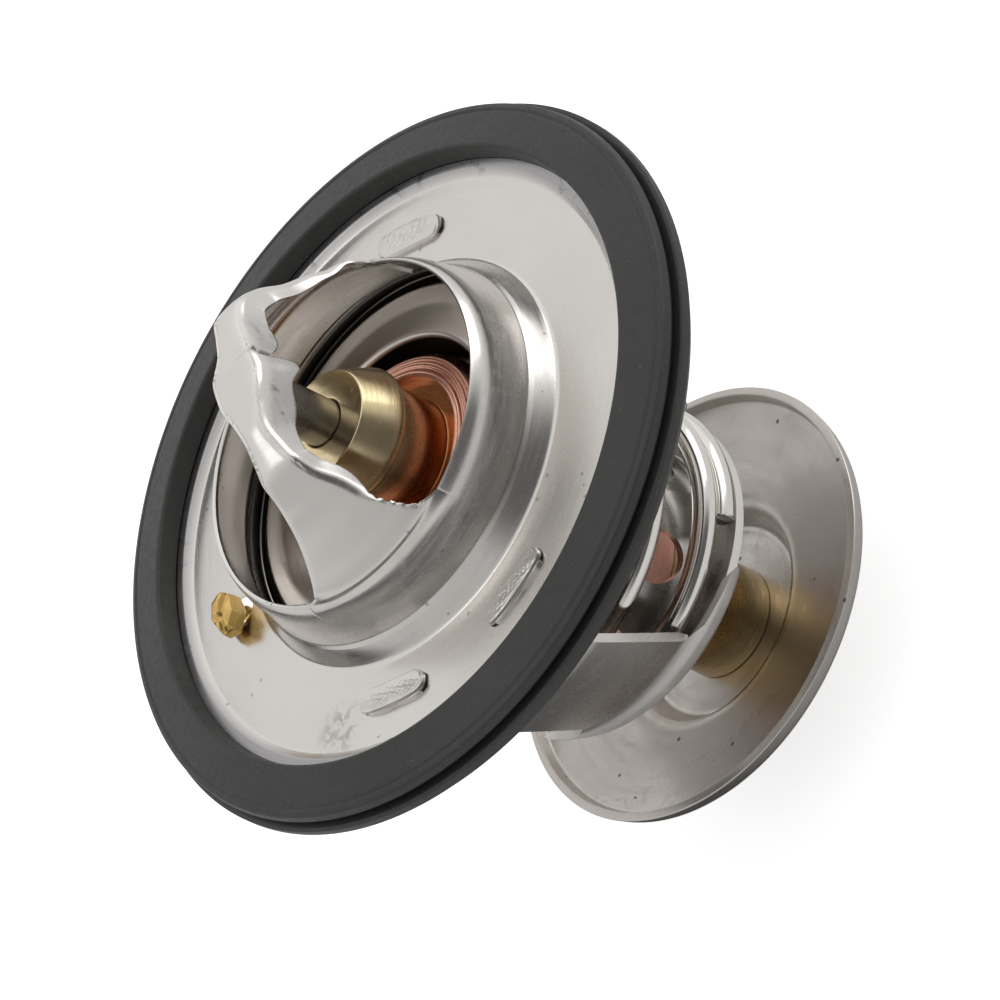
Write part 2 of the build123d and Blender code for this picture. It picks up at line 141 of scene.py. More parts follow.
# A path of corners, each rounded by its own arc. The arc's centre lies on the corner's bisector,
# at its radius over the sine of half the inner angle, and the arc is start x cos + across x sin.
# An arc takes 0.49 of a side at most. Straights get a point a step, arcs one every arcStep degrees.
def rounded(corners, bends, closed=True, step=0.35, arcStep=9):
    corners = [np.array(c, float) for c in corners]
    count = len(corners)
    pieces = []
    for k in range(count):
        here = corners[k]
        if not closed and k in (0, count - 1):
            pieces.append(here[None, :])
            continue
        toBack = corners[k - 1] - here
        toNext = corners[(k + 1) % count] - here
        backLength = np.linalg.norm(toBack)
        nextLength = np.linalg.norm(toNext)
        toBack = toBack / backLength
        toNext = toNext / nextLength
        inside = math.acos(np.clip(toBack @ toNext, -1, 1))
        turn = math.pi - inside
        if bends[k] <= 0 or turn < 0.01:
            pieces.append(here[None, :])
            continue
        cut = min(bends[k] / math.tan(inside / 2), 0.49 * backLength, 0.49 * nextLength)
        radius = cut * math.tan(inside / 2)
        bisector = (toBack + toNext) / np.linalg.norm(toBack + toNext)
        middle = here + bisector * radius / math.sin(inside / 2)
        start = here + toBack * cut - middle
        across = (here + toNext * cut - middle) - start * math.cos(turn)
        across = across / math.sin(turn)
        steps = max(3, int(math.degrees(turn) / arcStep) + 1)
        angle = np.linspace(0, turn, steps)[:, None]
        pieces.append(middle + start * np.cos(angle) + across * np.sin(angle))
    path = []
    for k in range(count if closed else count - 1):
        path.append(pieces[k])
        a = pieces[k][-1]
        b = pieces[(k + 1) % count][0]
        extra = int(np.linalg.norm(b - a) / step)
        if extra > 1:
            share = (np.arange(1, extra) / extra)[:, None]
            path.append(a + (b - a) * share)
    if not closed:
        path.append(pieces[-1])
    return np.concatenate(path)


# A path and its copy on the sheet's other side: each corner moved right by the gauge, mitred.
def sheetSides(path, gauge):
    path = np.array(path, float)
    heading = unit(np.diff(path, axis=0))
    before = np.vstack([heading[:1], heading])
    after = np.vstack([heading, heading[-1:]])
    normal = np.stack([(before + after)[:, 1], -(before + after)[:, 0]], axis=1)
    return path, path + normal * (gauge * 2 / (normal ** 2).sum(axis=1))[:, None]


# The closed outline of a bent sheet: the path, and back along its other side. The side inside a
# bend has the bend's radius, the one outside the gauge more.
def sheetLoop(path, bends, gauge, edge):
    near, far = sheetSides(path, gauge)
    heading = np.diff(near, axis=0)
    turnsLeft = heading[:-1, 0] * heading[1:, 1] - heading[:-1, 1] * heading[1:, 0] > 0
    nearBends = [b if left else b + gauge for b, left in zip(bends, turnsLeft)]
    farBends = [b + gauge if left else b for b, left in zip(bends, turnsLeft)]
    corners = list(near) + list(far[::-1])
    radii = [edge] + nearBends + [edge, edge] + farBends[::-1] + [edge]
    return rounded(corners, radii)


# A section (radius, height) carried round the axis: x is radius x cos, y is radius x sin, and z
# is the height. wobble(angle, radius, height) gives small changes of radius and height.
def spin(name, loop, segments, wobble=None, closedLoop=True):
    angle = np.linspace(0, fullTurn, segments, endpoint=False)[:, None]
    radius = loop[None, :, 0] + 0 * angle
    height = loop[None, :, 1] + 0 * angle
    if wobble is not None:
        dRadius, dHeight = wobble(angle, radius, height)
        radius = radius + dRadius
        height = height + dHeight
    grid = np.stack([radius * np.cos(angle), radius * np.sin(angle), height], axis=-1)
    faces = gridFaces(segments, loop.shape[0], True, closedLoop)
    return meshObject(name, grid.reshape(-1, 3), faces)


# A turned piece: its rounded corners, carried round the axis.
def turned(name, piece, closed=True, step=0.35, wobble=None):
    loop = rounded(piece["corners"], piece["bends"], closed, step)
    return spin(name, loop, piece["segments"], wobble, closed)


# A smooth curve through points: each span is a cubic with end slopes from its neighbours.
def smoothCurve(points, samples):
    points = np.array(points, float)
    gaps = np.linalg.norm(np.diff(points, axis=0), axis=1)
    place = np.concatenate([[0], np.cumsum(gaps)])
    slope = np.gradient(points, place, axis=0)
    at = np.linspace(0, place[-1], samples)
    k = np.clip(np.searchsorted(place, at, side="right") - 1, 0, len(points) - 2)
    span = (place[k + 1] - place[k])[:, None]
    s = ((at - place[k])[:, None]) / span
    a = (2 * s ** 3 - 3 * s ** 2 + 1) * points[k] + (s ** 3 - 2 * s ** 2 + s) * span * slope[k]
    b = (3 * s ** 2 - 2 * s ** 3) * points[k + 1] + (s ** 3 - s ** 2) * span * slope[k + 1]
    return a + b


# A round section carried along a line: the line, plus the radius times outward x cos and upright
# x sin. Outward points away from the object's axis, square to the heading, and upright is square
# to both. The cut ends are discs with a small chamfer.
def tube(name, line, radius, sides, chamferShare, chamferRise):
    heading = unit(np.gradient(line, axis=0))
    outward = line * np.array([1, 1, 0])
    outward = unit(outward - heading * (outward * heading).sum(axis=1)[:, None])
    upright = np.cross(heading, outward)
    around = np.linspace(0, fullTurn, sides, endpoint=False)[None, :, None]
    section = outward[:, None, :] * np.cos(around) + upright[:, None, :] * np.sin(around)
    full = line[:, None, :] + section * radius
    trim = line[:, None, :] + section * radius * chamferShare
    trim[0] -= heading[0] * chamferRise
    trim[-1] += heading[-1] * chamferRise
    ends = [trim[:1], trim[-1:]]
    middles = [np.broadcast_to(end.mean(axis=1, keepdims=True), end.shape) for end in ends]
    grid = np.concatenate([middles[0], ends[0], full, ends[1], middles[1]])
    faces = gridFaces(grid.shape[0], sides, False, True)
    return meshObject(name, grid.reshape(-1, 3), faces, sharpAngle=50)


# A bump of height 1 in the middle: e to the minus square of distance over width.
def bump(distance, width):
    return np.exp(-(distance / width) ** 2)


# 0 below low and 1 above high, eased between them by 3 t squared minus 2 t cubed.
def fade(value, low, high):
    t = np.clip((value - low) / (high - low), 0, 1)
    return t * t * (3 - 2 * t)


# A sum of waves: each is its height x sin(turns x place + start).
def waves(place, parts):
    return sum(height * np.sin(turns * place + start) for turns, start, height in parts)


# A dent: its depth x a bump along y x a bump along x.
def dentAt(px, py, mark):
    depth, atY, spanY, atX, spanX = mark
    return depth * bump(py - atY, spanY) * bump(px - atX, spanX)


# A new material, its node tree and its main shader.
def newMaterial(name):
    material = bpy.data.materials.new(name)
    material.use_nodes = True
    tree = material.node_tree
    shader = tree.nodes["Principled BSDF"]
    return material, tree, shader


# Each input of a node takes a value or a link. None leaves it as it is.
def setInputs(tree, node, inputs):
    for socket, value in inputs.items():
        if isinstance(value, bpy.types.NodeSocket):
            tree.links.new(value, node.inputs[socket])
        elif value is not None:
            node.inputs[socket].default_value = value


# A new node of a kind, with its inputs and its own settings.
def addNode(tree, kind, inputs, **settings):
    made = give(tree.nodes.new("ShaderNode" + kind), **settings)
    setInputs(tree, made, inputs)
    return made


# One sum on values or links: the operation on a, or on a and b.
def math2(tree, operation, a, b=None):
    return addNode(tree, "Math", {0: a, 1: b}, operation=operation).outputs[0]


# a x b
def times(tree, a, b):
    return math2(tree, "MULTIPLY", a, b)


# a + b
def plus(tree, a, b):
    return math2(tree, "ADD", a, b)


# fromLow to fromHigh becomes low to high, in a straight line and held at both ends.
def remap(tree, fac, low, high, fromLow, fromHigh, **settings):
    inputs = {"Value": fac, "From Min": fromLow, "From Max": fromHigh, "To Min": low, "To Max": high}
    return addNode(tree, "MapRange", inputs, **settings).outputs["Result"]


# Noise from 0 to 1, with so many waves to a metre and layers of finer detail.
def noise(tree, vector, scale, detail=4.0, rough=0.55, distortion=0.0):
    inputs = {"Vector": vector, "Scale": scale, "Detail": detail, "Roughness": rough,
              "Distortion": distortion}
    return addNode(tree, "TexNoise", inputs).outputs["Fac"]


# a + fac x (b - a), for colours.
def mixColour(tree, fac, a, b):
    a, b = ((*c, 1) if isinstance(c, tuple) else c for c in (a, b))
    return addNode(tree, "Mix", {0: fac, 6: a, 7: b}, data_type="RGBA").outputs[2]


# The surface's point in the object's own axes, in metres.
def objectPoint(tree):
    return addNode(tree, "TexCoord", {}).outputs["Object"]


# How far a point is from a centre, in metres.
def distanceFrom(tree, point, centre):
    return addNode(tree, "VectorMath", {0: point, 1: centre}, operation="DISTANCE").outputs["Value"]


# The point's x, y and height, and its distance from the axis, the root of x squared + y squared.
def roundPoint(tree):
    x, y, z = addNode(tree, "SeparateXYZ", {0: objectPoint(tree)}).outputs
    return x, y, z, math2(tree, "SQRT", plus(tree, times(tree, x, x), times(tree, y, y)))


# Distance from the axis, height and angle, each times its scale: a place for rings from a lathe
# or a press.
def ringVector(tree, radiusScale, heightScale, aroundScale):
    x, y, z, radius = roundPoint(tree)
    around = math2(tree, "ARCTAN2", y, x)
    inputs = {0: times(tree, radius, radiusScale), 1: times(tree, z, heightScale),
              2: times(tree, around, aroundScale)}
    return addNode(tree, "CombineXYZ", inputs).outputs[0]


# A band round the axis: 1 within a third of its width from the radius, fading to 0 at the width,
# times 1 between two heights, each eased over a span.
def ringBand(tree, radius, width, low, high, ease):
    z, distance = roundPoint(tree)[2:]
    off = math2(tree, "ABSOLUTE", math2(tree, "SUBTRACT", distance, radius * mm))
    near = remap(tree, off, 1.0, 0.0, width * mm * 0.35, width * mm)
    inside = times(tree, remap(tree, z, 0.0, 1.0, (low - ease) * mm, low * mm),
                   remap(tree, z, 1.0, 0.0, (high - ease) * mm, high * mm))
    return times(tree, near, inside)


# The normal, tilted by the slope of height x strength x depth in metres, on top of another one.
def bumpNode(tree, height, strength, depth, below=None):
    inputs = {"Strength": strength, "Distance": depth, "Height": height, "Normal": below}
    return addNode(tree, "Bump", inputs).outputs["Normal"]


# What metals share. A noise has its scale, detail, roughness and distortion, a span the noise
# values between which a pattern starts and is full.
metalLook = {
    "slowDetail": 3.0, "toneSpan": (0.35, 0.7), "roughSpan": (0.3, 0.7),
    "ringNoise": (1.0, 3.0, 0.7), "ringToneSpan": (0.45, 0.7), "ringRoughSpan": (0.35, 0.65),
    "ringRough": (-0.03, 0.05), "ringDepth": 0.00005,
    "grainDetail": 2.0, "grainDepth": 0.00003,
    "scuffNoise": (420.0, 6.0, 0.75, 1.2), "scuffSpan": (0.52, 0.75),
    # patches in a band of stain, painted shade or painted highlight
    "patchNoise": (230.0, 5.0, 0.7, 0.8), "patchSpan": (0.5, 0.66),
    # marks in a smudge
    "markNoise": (800.0, 5.0, 0.65, 0.6), "markSpan": (0.47, 0.6), "markTone": 0.62,
    "markRough": 0.12, "markColour": (0.34, 0.33, 0.32),
    # specks, where a noise is high
    "speckScale": 520.0, "speckSize": 0.12, "speckColour": (0.06, 0.05, 0.045),
    "fewNoise": (160.0, 2.0), "fewAbove": 0.58,
}


# Metal: a colour that drifts slowly towards a dark one, plus the rings' share of the dark one,
# then bands of stain and of painted shade and highlight, smudge and specks, each mixed over what
# is there by its own mask. Roughness is the drift's, plus a little from rings, scuffs, those bands
# and smudge. Rings and grain tilt the normal. ring gives the rings' fineness along the radius,
# along the axis and round it, then their strength and share of the dark colour. Each stain or
# painted band is a band round the axis, and even is the least share of it that is covered.
def metal(name, colour, dark, roughness, ring=None, grain=0.0, grainScale=2600.0, specks=0.0,
          scuffs=0.0, drift=0.35, driftScale=70.0, stainsAndPaintedLight=(), smudge=None):
    material, tree, shader = newMaterial(name)
    look = metalLook
    point = objectPoint(tree)
    slow = noise(tree, point, driftScale, look["slowDetail"])
    tone = mixColour(tree, remap(tree, slow, 0.0, drift, *look["toneSpan"]), colour, dark)
    rough = remap(tree, slow, *roughness, *look["roughSpan"])
    normal = None
    if ring:
        fineness, strength, share = ring
        rings = noise(tree, ringVector(tree, *fineness), *look["ringNoise"])
        normal = bumpNode(tree, rings, strength, look["ringDepth"])
        tone = mixColour(tree, remap(tree, rings, 0.0, share, *look["ringToneSpan"]), tone, dark)
        rough = plus(tree, rough, remap(tree, rings, *look["ringRough"], *look["ringRoughSpan"]))
    if grain:
        fine = noise(tree, point, grainScale, look["grainDetail"])
        normal = bumpNode(tree, fine, grain, look["grainDepth"], normal)
    if scuffs:
        wide = noise(tree, point, *look["scuffNoise"])
        rough = plus(tree, rough, remap(tree, wide, 0.0, scuffs, *look["scuffSpan"]))
    for mark in stainsAndPaintedLight:
        band = ringBand(tree, *mark["place"], mark["ease"])
        rough = plus(tree, rough, times(tree, band, mark["matt"]))
        patches = noise(tree, point, *look["patchNoise"])
        patches = remap(tree, patches, 0.0, 1.0, *look["patchSpan"])
        share = times(tree, band, math2(tree, "MAXIMUM", patches, mark["even"]))
        tone = mixColour(tree, share, tone, mark["colour"])
    if smudge:
        off = distanceFrom(tree, point, [c * mm for c in smudge["centre"]])
        near = remap(tree, off, 1.0, 0.0, smudge["full"] * mm, smudge["reach"] * mm)
        marks = noise(tree, point, *look["markNoise"])
        marks = remap(tree, marks, 0.0, look["markTone"], *look["markSpan"])
        tone = mixColour(tree, times(tree, near, marks), tone, look["markColour"])
        rough = plus(tree, rough, times(tree, near, look["markRough"]))
    if specks:
        spots = addNode(tree, "TexVoronoi", {"Scale": look["speckScale"], "Vector": point})
        small = math2(tree, "LESS_THAN", spots.outputs["Distance"], look["speckSize"])
        few = math2(tree, "GREATER_THAN", noise(tree, point, *look["fewNoise"]), look["fewAbove"])
        mask = times(tree, times(tree, small, few), specks)
        tone = mixColour(tree, mask, tone, look["speckColour"])
    setInputs(tree, shader,
              {"Metallic": 1.0, "Base Color": tone, "Roughness": rough, "Normal": normal})
    return material


rubberLook = {
    "slowNoise": (60.0, 4.0), "paleShare": 0.55, "toneSpan": (0.35, 0.7), "roughSpan": (0.3, 0.7),
    "dustNoise": (5200.0, 2.0, 0.5), "dustAbove": 0.74, "dustShare": 0.35,
    "dustColour": (0.45, 0.44, 0.42), "grainNoise": (1500.0, 3.0, 0.65), "grainStrength": 0.16,
    "grainDepth": 0.0001, "specular": 0.42,
}


# Rubber and the other soft pieces: a colour that drifts to a second one, with dust where a fine
# noise is high, and a grain that sets the roughness and tilts the normal.
def rubber(name, colour, pale, roughness):
    material, tree, shader = newMaterial(name)
    look = rubberLook
    point = objectPoint(tree)
    slow = noise(tree, point, *look["slowNoise"])
    fine = noise(tree, point, *look["grainNoise"])
    grit = noise(tree, point, *look["dustNoise"])
    share = remap(tree, slow, 0.0, look["paleShare"], *look["toneSpan"])
    tone = mixColour(tree, share, colour, pale)
    dust = times(tree, math2(tree, "GREATER_THAN", grit, look["dustAbove"]), look["dustShare"])
    setInputs(tree, shader, {
        "Base Color": mixColour(tree, dust, tone, look["dustColour"]),
        "Roughness": remap(tree, fine, *roughness, *look["roughSpan"]),
        "Normal": bumpNode(tree, fine, look["grainStrength"], look["grainDepth"]),
        "Specular IOR Level": look["specular"],
    })
    return material


# The object takes one material.
def dress(obj, material):
    obj.data.materials.clear()
    obj.data.materials.append(material)


# A band's values, as metal takes them, for a stain and for painted shade or highlight alike.
def stainAndPaintedLight(colour, radius, width, low, high, even=1.0, ease=0.05, matt=0.1):
    return {"colour": colour, "place": (radius, width, low, high), "even": even, "ease": ease,
            "matt": matt}


paintedGapShade = (0.02, 0.018, 0.016)  # painted shade in the seat's narrow gap
finishes = {
    "gasketRubber": rubber("gasketRubber", (0.022, 0.022, 0.021), (0.04, 0.039, 0.038), (0.4, 0.55)),
    "innerRubber": rubber("innerRubber", (0.02, 0.02, 0.02), (0.03, 0.03, 0.03), (0.5, 0.6)),
    "sheetSteel": metal(
        "sheetSteel", (0.7, 0.675, 0.645), (0.54, 0.515, 0.485), (0.19, 0.25),
        ring=((1800, 1800, 3), 0.01, 0.03), grain=0.03, scuffs=0.07, specks=0.35,
        drift=0.25, smudge={"centre": (-15.7, -21.8, 2.6), "full": 1.53, "reach": 3.4},
        # on the flange's joggle, tarnish in patches over an even darkening that paints the rubber's
        # dark reflection; painted shade in the seat's gap; and darker patches that paint the dark
        # reflections on the strap's walls
        stainsAndPaintedLight=[stainAndPaintedLight((0.17, 0.17, 0.19), 30.5, 1.45, 2.0, 3.5, even=0.6, matt=0.05),
                stainAndPaintedLight(paintedGapShade, 18.9, 0.7, 1.0, 4.4),
                stainAndPaintedLight((0.15, 0.15, 0.16), 0.0, 9.0, 16.5, 23.5, even=0.42, ease=0.9, matt=0.06)]),
    "tabSteel": metal(
        "tabSteel", (0.7, 0.675, 0.64), (0.46, 0.43, 0.4), (0.26, 0.38), grain=0.6,
        grainScale=1100.0, scuffs=0.2, specks=0.5, drift=0.5, driftScale=420.0,
        stainsAndPaintedLight=[stainAndPaintedLight((0.05, 0.045, 0.04), 24.5, 6.0, 2.0, 2.84)]),  # painted shade round the foot
    "valveSteel": metal(
        "valveSteel", (0.7, 0.65, 0.6), (0.56, 0.51, 0.465), (0.27, 0.34),
        ring=((1800, 1800, 2), 0.012, 0.05), scuffs=0.05,
        # painted shade in the gaps: on the rim's outer side at the seat, and inside the hub round
        # the cup
        stainsAndPaintedLight=[stainAndPaintedLight(paintedGapShade, 18.9, 0.85, 1.0, 3.75, ease=0.2),
                stainAndPaintedLight((0.04, 0.03, 0.026), 12.3, 0.5, -2.5, 3.6, ease=0.3)]),
    "cageSteel": metal(      # with a painted highlight, a pale band near its top
        "cageSteel", (0.7, 0.68, 0.65), (0.5, 0.48, 0.455), (0.2, 0.28), grain=0.06, scuffs=0.14,
        stainsAndPaintedLight=[stainAndPaintedLight((0.9, 0.88, 0.85), 17.8, 3.4, -27.5, -23.0, ease=1.0, matt=0.3)]),
    "discSteel": metal(
        "discSteel", (0.53, 0.5, 0.47), (0.38, 0.33, 0.29), (0.24, 0.34),
        ring=((700, 500, 1.5), 0.05, 0.1), grain=0.12, scuffs=0.16, specks=0.8),
    "springSteel": metal("springSteel", (0.74, 0.715, 0.68), (0.55, 0.52, 0.48), (0.09, 0.16),
                         scuffs=0.06),
    "pinSteel": metal("pinSteel", (0.3, 0.28, 0.26), (0.2, 0.185, 0.17), (0.26, 0.36),
                      ring=((1000, 3000, 2), 0.1, 0.3)),
    "brass": metal(
        "brass", (0.8, 0.665, 0.42), (0.58, 0.44, 0.22), (0.16, 0.26),
        ring=((1500, 3600, 1.5), 0.12, 0.35), scuffs=0.06, drift=0.4,
        # the neck, browned towards the cup
        stainsAndPaintedLight=[stainAndPaintedLight((0.46, 0.19, 0.075), 5.0, 20.0, -6.0, 8.6, even=0.92, ease=4.5, matt=0.04)]),
    "ventBrass": metal("ventBrass", (0.68, 0.46, 0.16), (0.42, 0.26, 0.07), (0.14, 0.24), grain=0.15,
                       grainScale=1500.0, scuffs=0.15, drift=0.6, driftScale=300.0),
    "stemBrass": metal("stemBrass", (0.56, 0.42, 0.22), (0.36, 0.25, 0.11), (0.26, 0.36),
                       ring=((1500, 4200, 2), 0.3, 0.6), scuffs=0.1, drift=0.6),
    "copper": metal("copper", (0.8, 0.44, 0.34), (0.52, 0.24, 0.17), (0.18, 0.28),
                    ring=((2400, 2400, 1.5), 0.1, 0.4), scuffs=0.12, drift=0.5),
    "ptfe": rubber("ptfe", (0.8, 0.8, 0.78), (0.7, 0.7, 0.68), (0.35, 0.5)),
    "wax": rubber("wax", (0.45, 0.22, 0.12), (0.36, 0.16, 0.08), (0.4, 0.6)),
}
print("materials made")

gasket = {
    # from the front lip down the flange's slot, over the rear face and up the rim, with its bead
    # and groove
    "corners": [(31.2, 5.4), (30.8, 3.25), (33.55, 3.25), (33.55, 2.15), (31.0, 2.15), (31.0, 0.0),
                (35.7, 0.15), (36.8, 1.35), (36.8, 2.22), (36.45, 2.34), (35.1, 2.28), (34.9, 2.6),
                (35.2, 2.88), (36.05, 2.95), (36.2, 3.3), (36.05, 4.15), (35.5, 4.36), (35.25, 4.28),
                (35.0, 4.46)],
    "bends": [0.35, 0.1, 0.05, 0.05, 0.1, 0.25, 0.4, 0.35, 0.12, 0.1, 0.15, 0.2, 0.15, 0.15, 0.15,
              0.35, 0.1, 0.1, 0.15],
    "segments": 400,
    "edgeWaves": [(2, 0.7, 0.03), (5, 1.9, 0.012)],  # turns, start, height
    "frontWaves": [(3, 0.4, 0.03), (7, 0.0, 0.01)],
    "edgeFrom": 33.8, "edgeSpan": 2.0, "frontSpan": 5.0,
}


# Moulded rubber is never quite round or flat: slow waves move the outer edge in and out and the
# front up and down, and both fade towards the flange.
def gasketWobble(angle, radius, height):
    atEdge = np.clip((radius - gasket["edgeFrom"]) / gasket["edgeSpan"], 0, 1)
    atFront = np.clip(height / gasket["frontSpan"], 0, 1)
    return waves(angle, gasket["edgeWaves"]) * atEdge, waves(angle, gasket["frontWaves"]) * atFront


ring = turned("gasketRing", gasket, wobble=gasketWobble)
dress(ring, finishes["gasketRubber"])
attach(ring, "fixed_frame")
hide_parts("rubber_gasket")
print("gasket made")

piston = {"corners": [(0, 3.1), (2.34, 3.1), (2.34, 23.6), (0, 23.6)], "bends": [0, 0.3, 0.3, 0],
          "segments": 96}
pin = turned("pistonPin", piston, closed=False)
dress(pin, finishes["pinSteel"])
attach(pin, "fixed_frame")
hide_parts("piston")

guideShape = {
    # from the bore's top: nose, cone and its land, neck, flange and the recess underneath
    "corners": [(2.39, 13.2), (5.4, 13.2), (7.0, 9.6), (7.0, 9.1), (6.3, 8.6), (6.3, 2.9),
                (10.3, 2.9), (10.3, 0.7), (5.2, 0.7), (2.39, 2.3)],
    "bends": [0.25, 0.22, 0.25, 0.15, 0.4, 0.2, 0.1, 0.1, 0.1, 0.1], "segments": 200,
}
guide = turned("pistonGuide", guideShape, step=0.25)
dress(guide, finishes["brass"])
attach(guide, "wax_element")
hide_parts("piston_guide")

cup = {
    "rimTop": 4.0, "rimIn": 8.2, "rimOut": 11.2, "rimFall": 0.09, "rimRows": 90,
    # turned grooves in the crimped rim: radius, depth, width
    "grooves": [(8.62, 0.1, 0.1), (9.16, 0.26, 0.2), (9.62, 0.1, 0.09), (9.95, 0.16, 0.11),
                (10.27, 0.08, 0.08)],
    # outside, from the rim's edge down to the middle of the bottom
    "outside": [(11.2, 2.35), (11.2, -1.3), (6.5, -1.3), (6.5, -27.5), (5.72, -27.8), (5.72, -26.3),
                (0, -26.3)],
    "outsideBends": [0.6, 0.7, 0.5, 0.5, 0.1, 0, 0],
    # inside, from the middle of the bottom up to under the rim
    "inside": [(0, -25.1), (5.7, -25.1), (5.7, -0.5), (10.4, -0.5), (10.4, 2.9), (8.2, 2.9)],
    "insideBends": [0, 0.5, 0.3, 0, 0, 0], "rimBack": (0.05, 0.15), "segments": 200,
}
# The crimped rim falls with the square of the distance outwards, less a dip for each groove.
rimR = np.linspace(cup["rimIn"] + 0.1, cup["rimOut"] - 0.75, cup["rimRows"])
rimZ = cup["rimTop"] - cup["rimFall"] * (rimR - cup["rimIn"]) ** 2
for place, depth, width in cup["grooves"]:
    rimZ = rimZ - depth * bump(rimR - place, width)
rimFace = np.stack([rimR, rimZ], axis=1)
outside = rounded([rimFace[-1], *cup["outside"]], [0, *cup["outsideBends"]], closed=False, step=0.3)
inside = rounded([*cup["inside"], rimFace[0] - cup["rimBack"]], [*cup["insideBends"], 0],
                 closed=False, step=0.6)
capsule = spin("waxCup", np.vstack([rimFace[:-1], outside, inside]), cup["segments"])
dress(capsule, finishes["copper"])
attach(capsule, "wax_element")
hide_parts("wax_capsule")

# the lip inside the collar's foot, which the valve's rim closes on
seatShape = {
    "corners": [(19.32, 2.9), (18.98, 3.6), (19.1, 4.1), (19.6, 3.9), (20.6, 2.2), (20.5, 1.75),
                (19.95, 1.75)],
    "bends": [0.15, 0.2, 0.15, 0.05, 0.05, 0.05, 0.05], "segments": 256,
}
seat = turned("seatLip", seatShape, step=0.25)
dress(seat, finishes["sheetSteel"])
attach(seat, "fixed_frame")

valve = {
    "gauge": 0.8,
    # the upper side from the cup outwards: hub, crest, ring and rim
    "path": [(7.05, -1.3), (12.4, -1.3), (12.4, 4.1), (16.3, 3.15), (18.05, 3.55)],
    "topBends": [0.1, 1.2, 0.5, 1.6, 0.3],
    # the sunk lip beyond the rim
    "lip": [(18.2, 2.75), (18.85, 2.7), (19.05, 3.12), (19.28, 2.85), (19.3, 2.25)],
    "lipBends": [0.1, 0.1, 0.05, 0.05, 0.1],
    "underBends": [0.1, 2.4, 1.3, 0.4, 0.1], "segments": 256,
}
plateTop, plateUnder = sheetSides(valve["path"], valve["gauge"])
plateLoop = rounded([*plateTop, *valve["lip"], *plateUnder[::-1]],
                    valve["topBends"] + valve["lipBends"] + valve["underBends"])
plate = spin("valvePlate", plateLoop, valve["segments"])
dress(plate, finishes["valveSteel"])
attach(plate, "wax_element")
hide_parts("valve_plate")

stemShape = {
    # from the top: shank, neck through the disc, riveted head
    "corners": [(0, -26.3), (5.66, -26.3), (5.66, -41.25), (3.2, -41.25), (3.2, -42.15),
                (4.6, -42.15), (4.6, -43.35), (0, -43.35)],
    "bends": [0, 0.3, 0.15, 0, 0, 0.2, 0.9, 0], "segments": 160,
}
stem = turned("bypassStem", stemShape, closed=False, step=0.25)
dress(stem, finishes["stemBrass"])
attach(stem, "wax_element")
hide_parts("bypass_stem")

discShape = {
    "gauge": 0.9, "edge": 0.15,
    # the recess's floor and wall, the wide face and the turned-up rim
    "path": [(3.25, -41.25), (9.7, -41.25), (11.3, -38.0), (21.2, -36.8), (21.55, -35.4)],
    "bends": [1.2, 1.2, 0.5], "segments": 320,
}
discLoop = sheetLoop(discShape["path"], discShape["bends"], discShape["gauge"], discShape["edge"])
disc = spin("bypassDisc", discLoop, discShape["segments"])
dress(disc, finishes["discSteel"])
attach(disc, "wax_element")
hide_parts("bypass_disc")
print("wax element and discs made")

spring = {
    "wire": 2.4, "radius": 15.2, "low": -24.98, "high": 1.0, "turns": 5.0,
    "endAngle": -22.0,                  # where the lower end starts, in degrees
    "closedRise": 1.01,                 # what an end turn climbs, in wires
    "easeTurn": 0.86, "easeRise": 1.6,  # the lower end turn climbs slower to here
    "points": 1200, "smoothing": 61, "sides": 28, "chamfer": 0.86, "chamferRise": 0.12,
}
# A helix: x and y go round at the radius, and the height climbs in three straight parts, closed
# end, open middle and closed end, smoothed by a sliding average.
low, high, last = spring["low"], spring["high"], spring["turns"]
turns = np.linspace(0, last, spring["points"])
rise = spring["wire"] * spring["closedRise"]
height = np.interp(turns, [0, spring["easeTurn"], 1, last - 1, last],
                   [low, low + spring["easeRise"], low + rise, high - rise, high])
kernel = np.hanning(spring["smoothing"])
height = np.pad(height, spring["smoothing"] // 2, mode="reflect", reflect_type="odd")
height = np.convolve(height, kernel / kernel.sum(), mode="valid")
coilAngle = math.radians(spring["endAngle"]) + fullTurn * turns
coilX = spring["radius"] * np.cos(coilAngle)
coilLine = np.stack([coilX, spring["radius"] * np.sin(coilAngle), height], axis=1)
coil = tube("returnCoil", coilLine, spring["wire"] / 2, spring["sides"], spring["chamfer"],
            spring["chamferRise"])
dress(coil, finishes["springSteel"])
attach(coil, "fixed_frame")
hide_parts("return_spring")
print("spring made")

